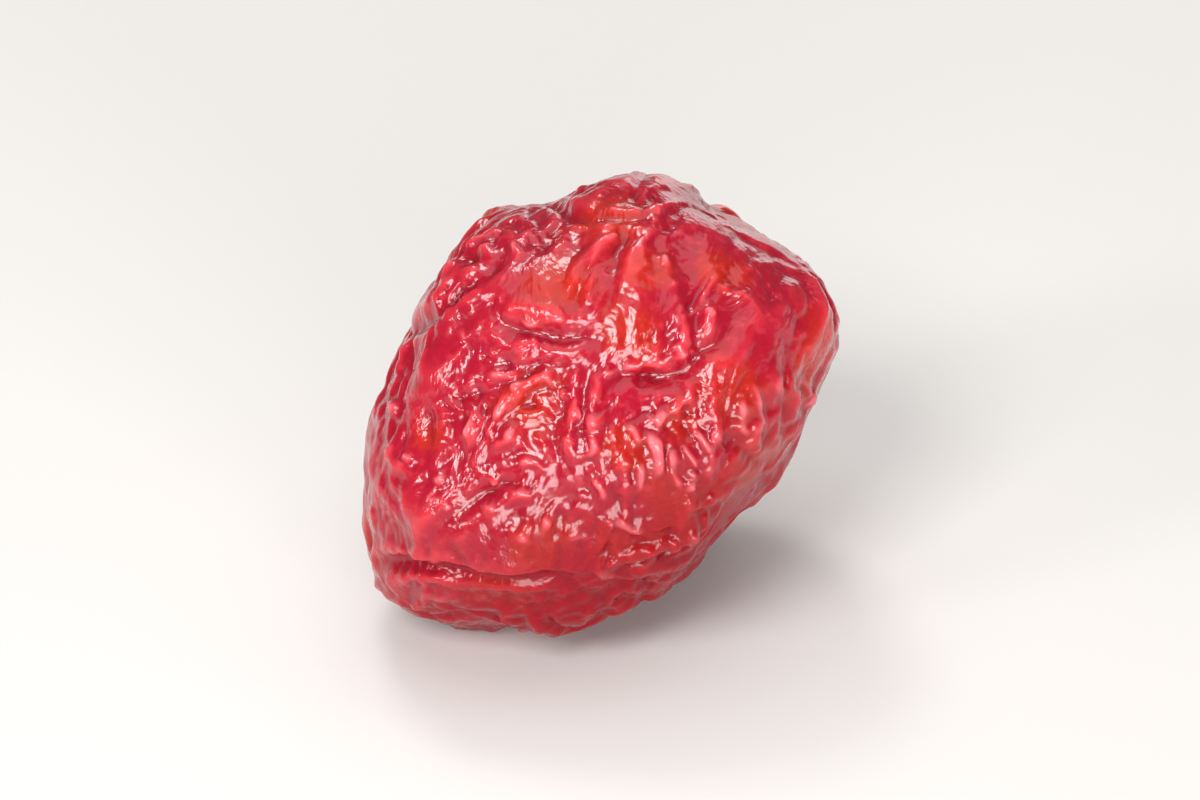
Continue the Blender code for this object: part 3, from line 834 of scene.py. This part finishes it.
def plumSkinMaterial():
    # Crimson, then one colour over another, each by a mask: random tones, painted shade in the
    # creases and on the underside, painted light on the crests and a painted highlight on the fold
    # tops; roughness and film by masks too.
    finish = plumFinish
    material = bpy.data.materials.new("driedPlumSkin")
    material.use_nodes = True
    tree = material.node_tree
    shader = tree.nodes["Principled BSDF"]
    place = addNode(tree, "TexCoord", {}).outputs["Object"]
    fromMiddle = addNode(tree, "VectorMath", {0: place, 1: view["lookAt"]}, operation="SUBTRACT")
    downwards = {0: fromMiddle.outputs[0], 1: finish["shadedSide"]}
    read = {"lower": addNode(tree, "VectorMath", downwards, operation="DOT_PRODUCT").outputs["Value"]}
    for name in ("relief", "warmth", "topHighlight", "crinkled"):
        read[name] = addNode(tree, "Attribute", {}, attribute_name=name).outputs["Fac"]
    for name in ("patches", "mottle", "specks", "streaks"):
        size, detail = finish[name]
        wanted = {"Vector": place, "Scale": 1000 / size, "Detail": detail}
        read[name] = addNode(tree, "TexNoise", wanted).outputs["Fac"]

    # A mask is a smooth step over what it reads. The orange patches' edge is added first.
    masks = {}
    for name, source, added in (
        ("patchEdge", "patches", None),
        ("orangeShare", "warmth", "patchEdge"),
        ("mottleShare", "mottle", None),
        ("speckShare", "specks", None),
        ("creaseShadeShare", "relief", None),
        ("litCrestShare", "relief", None),
        ("paleHighlightShare", "topHighlight", None),
        ("underShadeShare", "lower", None),
        ("film", "lower", None),
        ("streakShare", "streaks", None),
        ("roughness", "crinkled", None),
    ):
        value = read[source]
        if added:
            value = addNode(tree, "Math", {0: value, 1: masks[added]}, operation="ADD").outputs[0]
        low, high, least, most = finish[name]
        wanted = {"Value": value, "From Min": low, "From Max": high, "To Min": least, "To Max": most}
        step = addNode(tree, "MapRange", wanted, interpolation_type="SMOOTHSTEP")
        masks[name] = step.outputs["Result"]
    colour = linear(finish["crimson"])
    for name, tone in (
        ("orangeShare", "orange"),
        ("mottleShare", "crease"),
        ("speckShare", "crest"),
        # painted shade in the creases
        ("creaseShadeShare", "crease"),
        # painted light on the crests
        ("litCrestShare", "crest"),
        # painted highlight on the fold tops
        ("paleHighlightShare", "paleHighlight"),
        # painted shade on the underside
        ("underShadeShare", "underShade"),
    ):
        laid = {0: masks[name], 6: colour, 7: linear(finish[tone])}
        colour = addNode(tree, "Mix", laid, data_type="RGBA").outputs[2]
    sheen = {0: masks["roughness"], 1: masks["streakShare"]}
    shine = addNode(tree, "Math", sheen, operation="ADD").outputs[0]

    # The grain is too fine to build: noise drawn out from stem to tip, as bump.
    drawn = addNode(tree, "Attribute", {}, attribute_name="drawn").outputs["Vector"]
    wanted = {"Vector": drawn, "Scale": 1 / finish["grainSize"], "Detail": 1.0}
    grain = addNode(tree, "TexNoise", wanted).outputs["Fac"]
    wanted = {"Height": grain, "Distance": finish["grainHeight"] * 0.001}
    bumped = addNode(tree, "Bump", wanted).outputs["Normal"]
    linked = {
        "Base Color": colour,
        "Roughness": shine,
        "Coat Weight": masks["film"],
        "Normal": bumped,
        "Coat Normal": bumped,
    }
    for name, output in linked.items():
        tree.links.new(output, shader.inputs[name])
    same = {
        "IOR": 1.45,
        "Specular IOR Level": 0.05,  # the flesh under the film hardly reflects
        "Subsurface Weight": 0.8,
        "Subsurface Radius": finish["glowColour"],
        "Subsurface Scale": finish["glowDepth"] * 0.001,
        "Coat Roughness": 0.17,
        "Coat IOR": 1.48,  # of syrup
    }
    for name, value in same.items():
        shader.inputs[name].default_value = value
    return material


plum = makePlum()
plum.data.materials.append(plumSkinMaterial())
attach(plum, "root")
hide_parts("plum")
report("plum")

# The studio: a pale matt floor and a faint even room. A wide soft box hangs overhead, a small
# key stands at the upper left, a low wide box in front gives the broad glints, and small ones
# stand at the left, above the rim and behind.
studio = {
    "floorColour": "CFCCC9",
    "floorSize": 3.0,
    "room": 0.13,  # brightness of the air around
    "softBox": {"place": (0.06, 0.06, 0.85), "size": 1.00, "watts": 4.5},
    "keyBox": {"place": (-0.18, -0.40, 0.40), "size": 0.20, "watts": 2.45},
    "lowBox": {"place": (0.10, -0.55, 0.10), "size": 0.50, "tall": 0.23, "watts": 4.8},
    "leftBox": {"place": (-0.42, -0.28, 0.24), "size": 0.10, "watts": 0.7},
    "rimBox": {"place": (-0.10, 0.26, 0.46), "size": 0.14, "watts": 0.8},
    "backBox": {"place": (0.16, 0.58, 0.12), "size": 0.24, "watts": 0.35},
}


def makeLight(name, setting):
    # A rectangular soft box that looks at the fruit.
    data = bpy.data.lights.new(name, "AREA")
    data.energy = setting["watts"]
    data.shape = "RECTANGLE"
    data.size = setting["size"]
    data.size_y = setting.get("tall", setting["size"])
    light = bpy.data.objects.new(name, data)
    light.location = setting["place"]
    away = Vector(setting["place"]) - Vector(view["lookAt"])
    light.rotation_euler = away.to_track_quat("Z", "Y").to_euler()
    bpy.context.scene.collection.objects.link(light)


def makeFloor():
    # A flat square with its corners at plus and minus half its size.
    half = studio["floorSize"] / 2
    corners = [(-half, -half, 0), (half, -half, 0), (half, half, 0), (-half, half, 0)]
    mesh = bpy.data.meshes.new("floor")
    mesh.from_pydata(corners, [], [(0, 1, 2, 3)])
    floor = bpy.data.objects.new("floor", mesh)
    bpy.context.scene.collection.objects.link(floor)
    # Matt painted board: one even tone with hardly any sheen.
    material = bpy.data.materials.new("paintedBoard")
    material.use_nodes = True
    shader = material.node_tree.nodes["Principled BSDF"]
    shader.inputs["Base Color"].default_value = linear(studio["floorColour"])
    shader.inputs["Roughness"].default_value = 0.9
    shader.inputs["Specular IOR Level"].default_value = 0.2
    mesh.materials.append(material)


def makeRoom():
    # A white world at the room's brightness, with plain colours in the picture.
    world = bpy.data.worlds.new("room")
    world.use_nodes = True
    world.node_tree.nodes["Background"].inputs["Color"].default_value = (1, 1, 1, 1)
    world.node_tree.nodes["Background"].inputs["Strength"].default_value = studio["room"]
    bpy.context.scene.world = world
    bpy.context.scene.view_settings.view_transform = "Standard"


makeFloor()
makeRoom()
for name in ("softBox", "keyBox", "lowBox", "leftBox", "rimBox", "backBox"):
    makeLight(name, studio[name])
report("studio")
